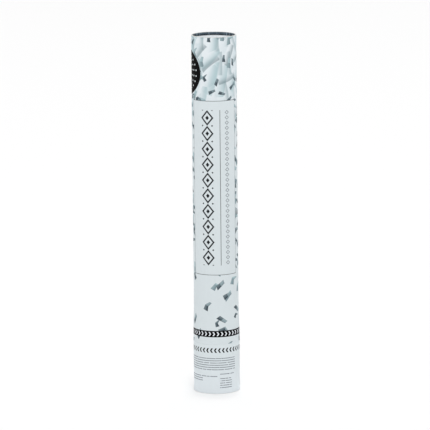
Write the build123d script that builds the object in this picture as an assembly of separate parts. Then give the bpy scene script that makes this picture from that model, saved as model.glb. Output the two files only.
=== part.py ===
from build123d import *
import os
from math import asin, ceil, cos, degrees, pi, sin, sqrt

# Confetti popper, 400 mm tall: a paperboard barrel on a grip that twists.
# Twisting the grip drives two helical ramps under a keyed crosshead, which pushes a
# rod up and lifts the valve of an air canister. The air passes round the canister
# and drives the wad, the strips and the mouth cup out of the barrel.
# Frame: millimetres, +Z up, origin at the middle of the foot, front towards -Y.

# Overall sizes
TOTAL_HEIGHT = 400.0
BARREL_DIAMETER = 49.8  # over the film
GRIP_STEP = 0.8  # radial, by which the grip stands out past the barrel
FILM = 0.25
FILM_EDGE = 0.3  # film stops this far short of a tube's open end
TWIST_LINE = 56.4  # top of the grip
PARTING_GAP = 0.4  # between grip and barrel
FLARE_FOOT = 4.0  # straight foot of the barrel's film, as wide as the grip
FLARE_LENGTH = 45.6  # from the grip's width to the barrel's

# Paperboard
BARREL_WALL = 0.9
GRIP_WALL = 1.5
SLEEVE_SHORT = 22.0  # the flare sleeve stops this far below the flare's top
SLEEVE_GAP = 0.15  # radial, of glue between the flare sleeve and the film
BASE_RECESS = 2.0
BASE_THICKNESS = 2.0

# Clearances
GLUE_GAP = 0.05  # radial, between glued or crimped pieces
RUN_GAP = 0.06  # radial, between pieces that turn on each other
SLIDE_GAP = 0.15  # radial, round pieces that slide
REST_GAP = 0.3  # between pieces that lie loosely on each other

# Twist drive
TWIST = 90.0  # degrees, from rest to fully open
LIFT = 8.0  # rise of the crosshead over that twist
CAM_FLOOR = 2.0
CAM_WALL = 1.2
RAMP_FOOT = 6.0  # height of the ramp under a lug at rest
RAMP_STEP = 10.0  # degrees between the sections of a ramp
RAMP_SPARE = 4.0  # radial, trimmed off both sides of those sections
RAMP_WIDTH = 3.55  # radial
CAM_GAP = 0.2  # between ramp and lug
CAM_CLEARANCE = 0.4  # radial, beside the ramps
STOP_PLAY = 1.0  # degrees, between a lug and its stop
STOP_WIDTH = 12.0  # degrees
STOP_HEIGHT = 7.0  # above the ramp's end
LUG_WIDTH = 6.0
LUG_HEIGHT = 6.0
LUG_ANGLES = (0.0, 180.0)
BOSS_RADIUS = 6.0
BOSS_HEIGHT = 8.0
ROD_RADIUS = 2.0
ROD_INSET = 2.0  # the rod's blind end above the crosshead's underside
ROD_TIP = 0.5  # chamfer

# Return spring
SPRING_CLEARANCE = 0.5  # radial, round the crosshead's boss
SPRING_WIRE = 1.2
SPRING_TURNS = 7
SPRING_SPANS = 4  # biarcs in each turn

# Socket, bearing and snap ring
SPIGOT_WALL = 3.0
SPIGOT_FLOOR_GAP = 3.0
SLOT_SPARE = 0.8  # slot left above the crosshead's top position
SPIGOT_LAND = 2.0  # between slot and ring groove
RING_THICKNESS = 1.2
RING_DEPTH = 1.0  # of the groove
RING_REACH = 1.8  # of the ring past the spigot
RING_MOUTH = 40.0  # degrees
RING_PLAY = 0.1
WASHER_THICKNESS = 0.5
WASHER_INSET = 0.85  # from the bearing collar's outside
FLANGE_HEIGHT = 4.6
WEB_THICKNESS = 4.0
SKIRT_HEIGHT = 16.0
SKIRT_WALL = 1.8
RIB_COUNT = 4
RIB_THICKNESS = 2.4
RIB_FIRST = 45.0  # degrees
RIB_TOE = 2.0  # how far the ribs reach in under the valve seat
SEAT_LEG = 4.0  # gas windows under the valve seat
SEAT_HEIGHT = 6.0
SEAT_WALL = 2.2
SEAL_WIRE = 1.6
SEAL_POCKET = 1.8

# Canister and valve
AIR_PASSAGE = 3.0  # radial, between canister and barrel
CANISTER_LENGTH = 132.0
CANISTER_WALL = 0.9
NECK_RADIUS = 9.0
NECK_HEIGHT = 12.0
SHOULDER_HEIGHT = 14.0
SHOULDER_SHIFT = 0.7  # inner shoulder's rise per wall, which keeps the wall even
HEEL_RADIUS = 4.0
DOME_DEPTH = 7.0
GASKET_THICKNESS = 0.8
FERRULE_LIP = 1.0  # of the valve seat past the neck
FERRULE_FLANGE = 2.5
FERRULE_SLEEVE = 9.5
VALVE_BORE = 5.5
PLUG_HEAD = 4.0
PLUG_STEM = 2.5
PLUG_PASSAGE = 1.0  # radial, round the plug's head
PLUG_ROUND = 1.0
PLUG_INSET = 1.0  # of the stem's end above the valve seat's underside
PLUG_SEAL_THICKNESS = 1.0
WING_COUNT = 3
WING_THICKNESS = 1.6
SPIDER_SKIRT = 12.0
SPIDER_WALL = 0.9
SPIDER_LIP = 2.0
SPIDER_LIP_WIDTH = 6.0
SPIDER_PORTS = 8
PORT_WIDTH = 9.0

# Charge and mouth
FOAM_THICKNESS = 8.0
CARD_THICKNESS = 1.5
STRIP_TIERS = 3
MAIN_STACK_DEPTH = 25.0  # of the two stacks side by side
MAIN_STACK_COUNT = 6  # bundles of strips
SIDE_STACK_COUNT = 2
BUNDLE_THICKNESS = 1.2
CUP_DEPTH = 3.6  # of the disc in the cup below the barrel's rim
CUP_INSET = 0.2  # of the cup's lip below the barrel's rim
CUP_FLOOR = 1.0
CUP_WALL = 0.6
CUP_ROUND = 0.5
LIP_ROUND = 0.2
DISC_THICKNESS = 0.5

# Radii that follow
barrel_radius = BARREL_DIAMETER / 2
grip_radius = barrel_radius + GRIP_STEP
grip_outer = grip_radius - FILM - GLUE_GAP
grip_bore = grip_outer - GRIP_WALL
barrel_outer = barrel_radius - FILM - GLUE_GAP
barrel_bore = barrel_outer - BARREL_WALL
cam_outer = grip_bore - GLUE_GAP
cam_bore = cam_outer - CAM_WALL
ramp_inner = cam_bore - RAMP_WIDTH
lug_reach = cam_bore - CAM_CLEARANCE
lug_angle = degrees(asin(LUG_WIDTH / 2 / ramp_inner))
spigot_radius = ramp_inner - CAM_CLEARANCE
spigot_bore = spigot_radius - SPIGOT_WALL
crosshead_radius = spigot_bore - SLIDE_GAP
spring_radius = BOSS_RADIUS + SPRING_CLEARANCE + SPRING_WIRE / 2
skirt_outer = barrel_bore - GLUE_GAP
canister_radius = barrel_bore - AIR_PASSAGE
ferrule_radius = NECK_RADIUS + FERRULE_LIP
seat_bore = ferrule_radius + REST_GAP
neck_bore = NECK_RADIUS - CANISTER_WALL
plug_radius = neck_bore - PLUG_PASSAGE
charge_radius = barrel_bore - REST_GAP
cup_radius = barrel_bore - SLIDE_GAP
cup_bore = cup_radius - CUP_WALL

# Heights that follow, from the foot up
base_top = BASE_RECESS + BASE_THICKNESS
cam_floor = base_top + CAM_FLOOR
ramp_rest = cam_floor + RAMP_FOOT
crosshead_low = ramp_rest + CAM_GAP
crosshead_high = crosshead_low + LUG_HEIGHT
spigot_low = cam_floor + SPIGOT_FLOOR_GAP
slot_high = crosshead_high + LIFT + SLOT_SPARE
groove_low = slot_high + SPIGOT_LAND
groove_high = groove_low + RING_THICKNESS + 2 * RING_PLAY
collar_low = groove_high + 2 * RING_PLAY
flange_low = TWIST_LINE + PARTING_GAP
flange_high = flange_low + FLANGE_HEIGHT
washer_high = flange_low - RING_PLAY
collar_high = washer_high - WASHER_THICKNESS
web_low = flange_high - WEB_THICKNESS
ferrule_low = flange_high + SEAT_LEG
ferrule_high = ferrule_low + FERRULE_FLANGE
valve_face = ferrule_high + FERRULE_SLEEVE
canister_low = ferrule_high + GASKET_THICKNESS
canister_high = canister_low + CANISTER_LENGTH
stem_low = ferrule_low + PLUG_INSET
plug_low = valve_face + PLUG_SEAL_THICKNESS
spider_high = canister_high + REST_GAP + SPIDER_LIP
foam_low = spider_high + REST_GAP
card_low = foam_low + FOAM_THICKNESS
strips_low = card_low + CARD_THICKNESS + REST_GAP
cup_high = TOTAL_HEIGHT - CUP_INSET
disc_low = TOTAL_HEIGHT - CUP_DEPTH - DISC_THICKNESS
cup_floor = disc_low - GLUE_GAP
cup_low = cup_floor - CUP_FLOOR
strip_pitch = (cup_low - strips_low) / STRIP_TIERS
strip_length = strip_pitch - REST_GAP
flare_low = flange_low + FLARE_FOOT
flare_high = flare_low + FLARE_LENGTH

FULL_TURN = 360.0
UPWARDS = (Align.CENTER, Align.CENTER, Align.MIN)


def disc(radius, low, high):
    """Round solid on the axis, from one height to another."""
    return Pos(0, 0, low) * Cylinder(radius, high - low, align=UPWARDS)


def ring(inner, outer, low, high):
    """Round wall on the axis."""
    return disc(outer, low, high) - disc(inner, low, high)


def turned(edges):
    """Solid turned about the axis from the edges of its half outline in radius and height."""
    return revolve(Plane.XZ * make_face(edges), axis=Axis.Z)


def s_curve(start, end):
    """Two equal arcs from start to end, both ends along the axis."""
    middle = ((start[0] + end[0]) / 2, (start[1] + end[1]) / 2)
    first = TangentArc(start, middle, tangent=(0, 1))
    return [first, TangentArc(middle, end, tangent=first % 1)]


def sector(inner, outer, low, high, start, end):
    """Block of a round wall between two angles."""
    outline = Pos((inner + outer) / 2, (low + high) / 2) * Rectangle(outer - inner, high - low)
    return Rot(0, 0, start) * revolve(Plane.XZ * outline, axis=Axis.Z, revolution_arc=end - start)


def ramp_height(angle):
    """Height of the ramp at an angle past the lug at rest."""
    return ramp_rest + LIFT * angle / TWIST


def helical_ramp(start, end, inner, outer, low, raised=0.0):
    """Wall between two radii and two angles whose top climbs at the cam's pitch."""
    width = outer - inner + 2 * RAMP_SPARE
    steps = ceil((end - start) / RAMP_STEP)
    sections = []
    for step in range(steps + 1):
        angle = start + (end - start) * step / steps
        high = ramp_height(angle) + raised
        outline = Pos((inner + outer) / 2, (low + high) / 2) * Rectangle(width, high - low)
        sections.append(Rot(0, 0, angle) * (Plane.XZ * outline))
    return loft(sections, ruled=True) & ring(inner, outer, low, ramp_height(end) + LIFT)


def flared_solid(inset, low, high):
    """Solid inside the barrel's film: the grip's radius at the foot, then the barrel's."""
    foot, top = grip_radius - inset, barrel_radius - inset
    flare = s_curve((foot, flare_low), (top, flare_high))
    outline = [
        Polyline((0, flange_low), (foot, flange_low), (foot, flare_low)),
        *flare,
        Polyline((top, flare_high), (top, TOTAL_HEIGHT), (0, TOTAL_HEIGHT), (0, flange_low)),
    ]
    return turned(outline) & disc(foot, low, high)


# Barrel
def make_barrel_tube():
    return ring(barrel_bore, barrel_outer, flange_high, TOTAL_HEIGHT)


def make_barrel_wrap():
    low, high = flange_low, TOTAL_HEIGHT - FILM_EDGE
    return flared_solid(0, low, high) - flared_solid(FILM, low, high)


def make_flare_sleeve():
    high = flare_high - SLEEVE_SHORT
    return flared_solid(FILM + SLEEVE_GAP, flange_high, high) - disc(
        barrel_outer + GLUE_GAP, flange_high, high
    )


# Socket in the barrel's foot
def make_barrel_socket():
    skirt_high = flange_high + SKIRT_HEIGHT
    seat_high = ferrule_low + SEAT_HEIGHT
    seat_outer = seat_bore + SEAT_WALL
    socket = disc(grip_outer, flange_low, flange_high)
    socket += ring(spigot_bore, spigot_radius, spigot_low, flange_low)
    socket -= disc(spigot_bore, flange_low, web_low)
    socket += ring(skirt_outer - SKIRT_WALL, skirt_outer, flange_high, skirt_high)
    rib_inner = ferrule_radius - RIB_TOE
    rib_length = skirt_outer - SKIRT_WALL / 2 - rib_inner
    rib = Pos(rib_inner, 0, flange_high) * Box(
        rib_length,
        RIB_THICKNESS,
        seat_high - flange_high,
        align=(Align.MIN, Align.CENTER, Align.MIN),
    )
    for index in range(RIB_COUNT):
        socket += Rot(0, 0, RIB_FIRST + index * FULL_TURN / RIB_COUNT) * rib
    socket += ring(seat_bore, seat_outer, ferrule_low, seat_high)
    socket -= disc(seat_bore, ferrule_low, seat_high)
    socket -= disc(ROD_RADIUS + SLIDE_GAP, web_low, flange_high)
    socket -= disc(seal_outer() + SLIDE_GAP, flange_high - SEAL_POCKET, flange_high)
    socket -= ring(spigot_radius - RING_DEPTH, spigot_radius, groove_low, groove_high)
    slot = Pos(0, 0, spigot_low) * Box(
        2 * spigot_radius,
        LUG_WIDTH + 2 * SLIDE_GAP,
        slot_high - spigot_low,
        align=UPWARDS,
    )
    return socket - slot


def make_retaining_ring():
    inner = spigot_radius - RING_DEPTH + GLUE_GAP
    low = groove_low + RING_PLAY
    return sector(
        inner,
        spigot_radius + RING_REACH,
        low,
        low + RING_THICKNESS,
        RING_MOUTH / 2,
        FULL_TURN - RING_MOUTH / 2,
    )


def seal_outer():
    """Outer radius of the O-ring that sits round the push rod."""
    return ROD_RADIUS + GLUE_GAP + SEAL_WIRE


def make_rod_seal():
    low = flange_high - SEAL_POCKET
    return Pos(0, 0, low + SEAL_WIRE / 2) * Torus(seal_outer() - SEAL_WIRE / 2, SEAL_WIRE / 2)


# Canister and valve
def bottle(inset):
    """Solid inside the canister's outline, set in by a wall."""
    neck, body = NECK_RADIUS - inset, canister_radius - inset
    heel = HEEL_RADIUS - inset
    neck_high = canister_low + NECK_HEIGHT + inset * SHOULDER_SHIFT
    body_low = neck_high + SHOULDER_HEIGHT
    high = canister_high - inset
    rim = body - heel
    heel_middle = (rim + heel * sin(pi / 4), high - heel + heel * cos(pi / 4))
    dome_middle = (0, high - DOME_DEPTH)
    outline = [
        Polyline(dome_middle, (0, canister_low), (neck, canister_low), (neck, neck_high)),
        *s_curve((neck, neck_high), (body, body_low)),
        Line((body, body_low), (body, high - heel)),
        ThreePointArc((body, high - heel), heel_middle, (rim, high)),
        TangentArc(dome_middle, (rim, high), tangent=(1, 0)),
    ]
    return turned(outline)


def make_air_canister():
    return bottle(0) - bottle(CANISTER_WALL)


def make_neck_gasket():
    return ring(neck_bore, NECK_RADIUS, ferrule_high, canister_low)


def make_valve_seat():
    flange = ring(VALVE_BORE, ferrule_radius, ferrule_low, ferrule_high)
    return flange + ring(VALVE_BORE, neck_bore - GLUE_GAP, ferrule_high, valve_face)


def make_valve_plug():
    head = disc(plug_radius, plug_low, plug_low + PLUG_HEAD)
    plug = fillet(head.edges().group_by(Axis.Z)[-1], PLUG_ROUND)
    plug += disc(PLUG_STEM, stem_low, plug_low)
    wing_low, wing_high = stem_low + PLUG_INSET, valve_face - PLUG_INSET
    wing = Pos(0, 0, wing_low) * Box(
        VALVE_BORE,
        WING_THICKNESS,
        wing_high - wing_low,
        align=(Align.MIN, Align.CENTER, Align.MIN),
    )
    wings = Part()
    for index in range(WING_COUNT):
        wings += Rot(0, 0, FULL_TURN * index / WING_COUNT) * wing
    return plug + (wings & disc(VALVE_BORE - SLIDE_GAP, wing_low, wing_high))


def make_plug_seal():
    return ring(PLUG_STEM + GLUE_GAP, plug_radius, valve_face, plug_low)


def make_canister_spider():
    outer = barrel_bore - GLUE_GAP
    inner = canister_radius + GLUE_GAP
    low = canister_high - SPIDER_SKIRT
    lip_low = canister_high + REST_GAP
    spider = ring(inner, outer, low, spider_high)
    spider += ring(outer - SPIDER_LIP_WIDTH, outer, lip_low, spider_high)
    port = Pos(inner + SPIDER_WALL, 0, low) * Box(
        outer,
        PORT_WIDTH,
        spider_high - low,
        align=(Align.MIN, Align.CENTER, Align.MIN),
    )
    for index in range(SPIDER_PORTS):
        spider -= Rot(0, 0, FULL_TURN * index / SPIDER_PORTS) * port
    return spider


# Grip
def make_grip_tube():
    return ring(grip_bore, grip_outer, 0, TWIST_LINE)


def make_grip_wrap():
    return ring(grip_radius - FILM, grip_radius, FILM_EDGE, TWIST_LINE)


def make_base_disc():
    return disc(cam_outer, BASE_RECESS, base_top)


def make_cam_ring():
    low_stop = -lug_angle - STOP_PLAY
    high_stop = TWIST + lug_angle + STOP_PLAY
    stop_top = ramp_height(high_stop) + STOP_HEIGHT
    cam = disc(cam_outer, base_top, cam_floor)
    cam += ring(cam_bore, cam_outer, base_top, collar_low)
    buried = cam_bore + CAM_WALL / 2
    ramp = helical_ramp(low_stop, high_stop, ramp_inner, buried, base_top)
    for angle in LUG_ANGLES:
        turn = Rot(0, 0, angle)
        cam += turn * ramp
        cam += turn * sector(
            ramp_inner, buried, base_top, crosshead_high, low_stop - STOP_WIDTH, low_stop
        )
        cam += turn * sector(
            ramp_inner, buried, base_top, stop_top, high_stop, high_stop + STOP_WIDTH
        )
    return cam


def make_bearing_collar():
    return ring(spigot_radius + RUN_GAP, cam_outer, collar_low, collar_high)


def make_thrust_washer():
    inner = spigot_radius + REST_GAP
    return ring(inner, cam_outer - WASHER_INSET, collar_high, washer_high)


# Crosshead and rod
def make_crosshead():
    crosshead = disc(crosshead_radius, crosshead_low, crosshead_high)
    crosshead += disc(BOSS_RADIUS, crosshead_high, crosshead_high + BOSS_HEIGHT)
    arm_low = ramp_height(-lug_angle) + CAM_GAP
    arm = Pos(0, 0, arm_low) * Box(
        lug_reach,
        LUG_WIDTH,
        crosshead_high - arm_low,
        align=(Align.MIN, Align.CENTER, Align.MIN),
    )
    arm -= helical_ramp(
        -2 * lug_angle, 2 * lug_angle, crosshead_radius, cam_outer, base_top, CAM_GAP
    )
    arm -= disc(crosshead_radius, arm_low, crosshead_low)
    for angle in LUG_ANGLES:
        crosshead += Rot(0, 0, angle) * arm
    rod_hole = disc(
        ROD_RADIUS + GLUE_GAP, crosshead_low + ROD_INSET, crosshead_high + BOSS_HEIGHT
    )
    return crosshead - rod_hole


def make_push_rod():
    rod = disc(ROD_RADIUS, crosshead_low + ROD_INSET, stem_low - REST_GAP)
    return chamfer(rod.edges().group_by(Axis.Z)[-1], ROD_TIP)


# Spring
def spring_station(turns):
    """Point and direction of the spring's wire after a number of turns."""
    angle = 2 * pi * turns
    low = crosshead_high + SPRING_WIRE / 2 + GLUE_GAP
    pitch = (web_low - crosshead_high - SPRING_WIRE - 2 * GLUE_GAP) / SPRING_TURNS
    across, along = spring_radius * cos(angle), spring_radius * sin(angle)
    direction = Vector(-2 * pi * along, 2 * pi * across, pitch)
    return Vector(across, along, low + pitch * turns), direction.normalized()


def biarc(start, start_direction, end, end_direction):
    """Two arcs that leave start and reach end along the given directions."""
    chord = end - start
    both = start_direction + end_direction
    a = 2 * (start_direction.dot(end_direction) - 1)
    b = -2 * chord.dot(both)
    c = chord.dot(chord)
    reach = (-b - sqrt(b * b - 4 * a * c)) / (2 * a)
    first_corner = start + start_direction * reach
    last_corner = end - end_direction * reach
    middle = (first_corner + last_corner) * 0.5
    return [
        TangentArc(start, middle, tangent=start_direction),
        TangentArc(middle, end, tangent=last_corner - first_corner),
    ]


def make_return_spring():
    spans = SPRING_TURNS * SPRING_SPANS
    stations = [spring_station(index / SPRING_SPANS) for index in range(spans + 1)]
    arcs = []
    for (start, start_way), (end, end_way) in zip(stations, stations[1:]):
        arcs += biarc(start, start_way, end, end_way)
    first_point, first_way = stations[0]
    section = Plane(first_point, z_dir=first_way) * Circle(SPRING_WIRE / 2)
    return sweep(section, path=Wire(arcs))


def spring_least_gap():
    """Least gap between one turn of the spring and the next, measured on points."""
    samples = 24  # in each turn
    points = [spring_station(index / samples)[0] for index in range(SPRING_TURNS * samples + 1)]
    gaps = [
        (first - second).length - SPRING_WIRE
        for index, first in enumerate(points)
        for second in points[index + samples // 2 :]
    ]
    return min(gaps)


# Charge
def make_wad_foam():
    return disc(charge_radius, foam_low, card_low)


def make_wad_card():
    return disc(charge_radius, card_low, card_low + CARD_THICKNESS)


def stack(middle_x, width, low_y, high_y, count):
    """Bundles of strips on end, spread evenly across a stack."""
    first = low_y + BUNDLE_THICKNESS / 2
    room = (high_y - low_y - BUNDLE_THICKNESS) / (count - 1)
    bundle = Box(width, BUNDLE_THICKNESS, strip_length, align=UPWARDS)
    return [Pos(middle_x, first + room * index, 0) * bundle for index in range(count)]


def make_strips(tier):
    """One tier of strips: two stacks side by side and a thinner one in front and behind."""
    main_half = MAIN_STACK_DEPTH / 2
    width = sqrt(charge_radius**2 - main_half**2) - REST_GAP / 2
    middle = (width + REST_GAP) / 2
    side_low = main_half + REST_GAP
    side_high = sqrt(charge_radius**2 - (width / 2) ** 2)
    bundles = []
    for side in (-1, 1):
        bundles += stack(side * middle, width, -main_half, main_half, MAIN_STACK_COUNT)
        low_y, high_y = sorted((side * side_low, side * side_high))
        bundles += stack(0, width, low_y, high_y, SIDE_STACK_COUNT)
    return Pos(0, 0, strips_low + tier * strip_pitch) * Compound(children=bundles)


# Mouth
def make_mouth_cup():
    cup = disc(cup_radius, cup_low, cup_high) - disc(cup_bore, cup_floor, cup_high)
    cup = fillet(cup.edges().group_by(Axis.Z)[0], CUP_ROUND)
    return fillet(cup.edges().group_by(Axis.Z)[-1], LIP_ROUND)


def make_cup_disc():
    return disc(cup_bore - GLUE_GAP, disc_low, disc_low + DISC_THICKNESS)


NODES = {
    "barrel_tube": make_barrel_tube(),
    "barrel_wrap": make_barrel_wrap(),
    "flare_sleeve": make_flare_sleeve(),
    "barrel_socket": make_barrel_socket(),
    "retaining_ring": make_retaining_ring(),
    "rod_seal": make_rod_seal(),
    "air_canister": make_air_canister(),
    "neck_gasket": make_neck_gasket(),
    "valve_seat": make_valve_seat(),
    "valve_plug": make_valve_plug(),
    "plug_seal": make_plug_seal(),
    "canister_spider": make_canister_spider(),
    "grip_tube": make_grip_tube(),
    "grip_wrap": make_grip_wrap(),
    "base_disc": make_base_disc(),
    "cam_ring": make_cam_ring(),
    "bearing_collar": make_bearing_collar(),
    "thrust_washer": make_thrust_washer(),
    "crosshead": make_crosshead(),
    "push_rod": make_push_rod(),
    "return_spring": make_return_spring(),
    "wad_foam": make_wad_foam(),
    "wad_card": make_wad_card(),
    "mouth_cup": make_mouth_cup(),
    "cup_disc": make_cup_disc(),
}
for tier in range(STRIP_TIERS):
    NODES[f"strips_tier_{tier + 1}"] = make_strips(tier)

os.makedirs("parts", exist_ok=True)
for name, shape in NODES.items():
    export_step(shape, f"parts/{name}.step")
print(f"least gap of the spring to itself: {spring_least_gap():.2f} mm")
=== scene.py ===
from math import ceil, cos, pi, radians, sin
from random import Random

import bpy
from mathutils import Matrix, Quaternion, Vector


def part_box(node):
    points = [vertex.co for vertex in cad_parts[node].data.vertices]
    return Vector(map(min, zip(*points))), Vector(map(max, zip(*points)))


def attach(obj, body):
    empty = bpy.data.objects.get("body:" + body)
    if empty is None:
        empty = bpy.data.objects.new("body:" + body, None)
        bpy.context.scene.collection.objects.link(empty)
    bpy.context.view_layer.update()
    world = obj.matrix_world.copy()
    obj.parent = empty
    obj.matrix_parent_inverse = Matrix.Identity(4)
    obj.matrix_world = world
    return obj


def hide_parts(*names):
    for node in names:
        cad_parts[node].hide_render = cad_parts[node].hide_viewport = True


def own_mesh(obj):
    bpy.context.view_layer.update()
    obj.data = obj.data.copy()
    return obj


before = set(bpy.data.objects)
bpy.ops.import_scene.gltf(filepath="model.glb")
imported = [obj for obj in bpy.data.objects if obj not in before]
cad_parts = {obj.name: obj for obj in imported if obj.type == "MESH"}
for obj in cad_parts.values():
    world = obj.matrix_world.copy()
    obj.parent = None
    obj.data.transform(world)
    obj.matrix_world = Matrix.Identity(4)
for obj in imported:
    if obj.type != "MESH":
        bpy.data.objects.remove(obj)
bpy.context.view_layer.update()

# Board tubes and discs
# Barrel and grip are wound from strips of white-lined grey board, glued at a slant, so a
# faint slanting joint shows on the wall and the plies show as rings on a cut end.
BOARD_WHITE = (232, 232, 229)
BOARD_GREY = (198, 195, 188)
BOARD_JOINT = (170, 166, 157)
BOARD_ROUGH = 0.85
BOARD_RELIEF = 0.05  # mm, as are the next lengths
BOARD_PLY = 0.42
BOARD_PLY_LINE = 0.1
BOARD_PLY_SOFT = 0.08
BOARD_PLY_SHARE = 0.55  # how much of its colour shows, and how deep it is in the relief
BOARD_PLY_DEPTH = 0.6
BOARD_LEAD = 118.0  # climbed by one turn of the slanting joint
BOARD_JOINT_WIDTH = 0.35
BOARD_JOINT_SOFT = 0.2
BOARD_JOINT_SHARE = 0.6
CUT_END = (0.6, 0.8)  # how far a face looks up or down, from wall to cut end
CUT_END_SHARE = 0.1
FIBRE_GRAIN = (1, 1, 0.35)  # longer up the tube than round it
FIBRE_SCALE = 1.6  # per mm
FIBRE_DETAIL = 5.0
FIBRE_SHARE = 0.5
FIBRE_DEPTH = 0.5
MM = 0.001


def screen_colour(red, green, blue):
    """A colour as a screen shows it, 0 to 255, made linear for a material by the sRGB rule."""
    parts = [value / 255 for value in (red, green, blue)]
    linear = [part / 12.92 if part <= 0.04045 else ((part + 0.055) / 1.055) ** 2.4 for part in parts]
    return (*linear, 1.0)


class Shade:
    """A socket of a material's or the world's nodes. Sums written with it add Math nodes."""

    def __init__(self, tree, socket):
        self.tree = tree
        self.socket = socket

    def node(self, kind, settings, sockets, output=0):
        """Adds a node with its settings and sockets, and gives one of its outputs."""
        made = self.tree.nodes.new(kind)
        for name, value in settings.items():
            setattr(made, name, value)
        for name, value in sockets.items():
            if isinstance(value, Shade):
                self.tree.links.new(value.socket, made.inputs[name])
            else:
                made.inputs[name].default_value = value
        return Shade(self.tree, made.outputs[output])

    def output(self, name):
        """Another output of the node that gave this one."""
        return Shade(self.tree, self.socket.node.outputs[name])

    def into(self, surface, name):
        self.tree.links.new(self.socket, surface.inputs[name])

    def sum(self, operation, *values, clamp=False):
        settings = {"operation": operation, "use_clamp": clamp}
        return self.node("ShaderNodeMath", settings, dict(enumerate(values)))

    def __add__(self, other):
        return self.sum("ADD", self, other)

    def __radd__(self, other):
        return self.sum("ADD", other, self)

    def __sub__(self, other):
        return self.sum("SUBTRACT", self, other)

    def __rsub__(self, other):
        return self.sum("SUBTRACT", other, self)

    def __mul__(self, other):
        return self.sum("MULTIPLY", self, other)

    def __rmul__(self, other):
        return self.sum("MULTIPLY", other, self)

    def __truediv__(self, other):
        return self.sum("DIVIDE", self, other)

    def __rtruediv__(self, other):
        return self.sum("DIVIDE", other, self)

    def __mod__(self, other):
        return self.sum("FLOORED_MODULO", self, other)

    def __rmod__(self, other):
        return self.sum("FLOORED_MODULO", other, self)

    def __pow__(self, other):
        return self.sum("POWER", self, other)

    def __rpow__(self, other):
        return self.sum("POWER", other, self)

    def __lt__(self, other):
        return self.sum("LESS_THAN", self, other)

    def __gt__(self, other):
        """Reflected form of less than."""
        return self.sum("GREATER_THAN", self, other)

    def __abs__(self):
        return self.sum("ABSOLUTE", self)

    def either(self, other):
        """Nearer of two shapes, or the less of two numbers."""
        return self.sum("MINIMUM", self, other)

    def both(self, other):
        """What two shapes share, or the greater of two numbers."""
        return self.sum("MAXIMUM", self, other)

    def inked(self, soft):
        """1 inside a shape, whose distance this is in mm, and 0 outside its soft edge."""
        return self.sum("MULTIPLY_ADD", self, -1 / soft, 0.5, clamp=True)

    def rising(self, low, high):
        """0 up to low, 1 past high and a smooth rise between them, whichever of the two is greater."""
        sockets = {"Value": self, "From Min": low, "From Max": high}
        return self.node("ShaderNodeMapRange", {"interpolation_type": "SMOOTHSTEP"}, sockets)

    def repeated(self, pitch):
        """Distance from the nearest of the lines that stand a pitch apart."""
        return abs(self % pitch - pitch / 2)

    def between(self, first, second):
        """First colour where this is 0, second where it is 1."""
        # A Mix node's colour sockets are told apart by number: factor 0, colours 6 and 7, result 2.
        return self.node("ShaderNodeMix", {"data_type": "RGBA"}, {0: self, 6: first, 7: second}, 2)

    def parts(self):
        """The three numbers of a vector."""
        across = self.node("ShaderNodeSeparateXYZ", {}, {0: self})
        return across, across.output("Y"), across.output("Z")

    def stretched(self, across, along, up):
        """This place with each direction multiplied, for a grain that runs one way."""
        sockets = {0: self, 1: (across, along, up)}
        return self.node("ShaderNodeVectorMath", {"operation": "MULTIPLY"}, sockets)

    def speckle(self, scale=1.0, detail=2.0):
        """Cloudy noise, from 0 to 1, at this place."""
        return self.node("ShaderNodeTexNoise", {}, {"Vector": self, "Scale": scale, "Detail": detail})

    def raised(self, height):
        """Surface direction for this relief, whose full range is a height in mm."""
        return self.node("ShaderNodeBump", {}, {"Height": self, "Distance": height * MM}, "Normal")


def new_finish(name, **constants):
    """A material, its surface node with constants set, and the place on the piece in mm."""
    finish = bpy.data.materials.new(name)
    finish.use_nodes = True
    tree = finish.node_tree
    surface = tree.nodes["Principled BSDF"]
    for socket, value in constants.items():
        surface.inputs[socket.replace("_", " ")].default_value = value
    coordinates = Shade(tree, tree.nodes.new("ShaderNodeTexCoord").outputs["Object"])
    return finish, surface, coordinates.stretched(1 / MM, 1 / MM, 1 / MM)


def polar(x, y):
    """Angle from the front, to the right positive, and radius in mm."""
    return x.sum("ARCTAN2", x, y * -1), (x * x + y * y) ** 0.5


def dress(finish, *nodes):
    """Puts a material on solids that keep their own shape."""
    for node in nodes:
        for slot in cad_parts[node].material_slots:
            slot.material = finish


board, surface, place = new_finish("board", Roughness=BOARD_ROUGH)
x, y, z = place.parts()
theta, radius = polar(x, y)
facing = place.node("ShaderNodeNewGeometry", {}, {}, "Normal").parts()[2]
cut_end = abs(facing).rising(*CUT_END)
ply = (radius.repeated(BOARD_PLY) - BOARD_PLY_LINE / 2).inked(BOARD_PLY_SOFT) * cut_end
climb = theta / (2 * pi) * BOARD_LEAD + z
joint = (climb.repeated(BOARD_LEAD) - BOARD_JOINT_WIDTH / 2).inked(BOARD_JOINT_SOFT) * (1 - cut_end)
fibre = place.stretched(*FIBRE_GRAIN).speckle(FIBRE_SCALE, FIBRE_DETAIL)
greyed = fibre * FIBRE_SHARE + cut_end * CUT_END_SHARE
ground = greyed.between(screen_colour(*BOARD_WHITE), screen_colour(*BOARD_GREY))
ground = (ply * BOARD_PLY_SHARE).between(ground, screen_colour(*BOARD_JOINT))
(joint * BOARD_JOINT_SHARE).between(ground, screen_colour(*BOARD_JOINT)).into(surface, "Base Color")
(fibre * FIBRE_DEPTH - joint - ply * BOARD_PLY_DEPTH).raised(BOARD_RELIEF).into(surface, "Normal")
dress(board, "barrel_tube", "grip_tube", "flare_sleeve", "base_disc", "wad_card")

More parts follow.
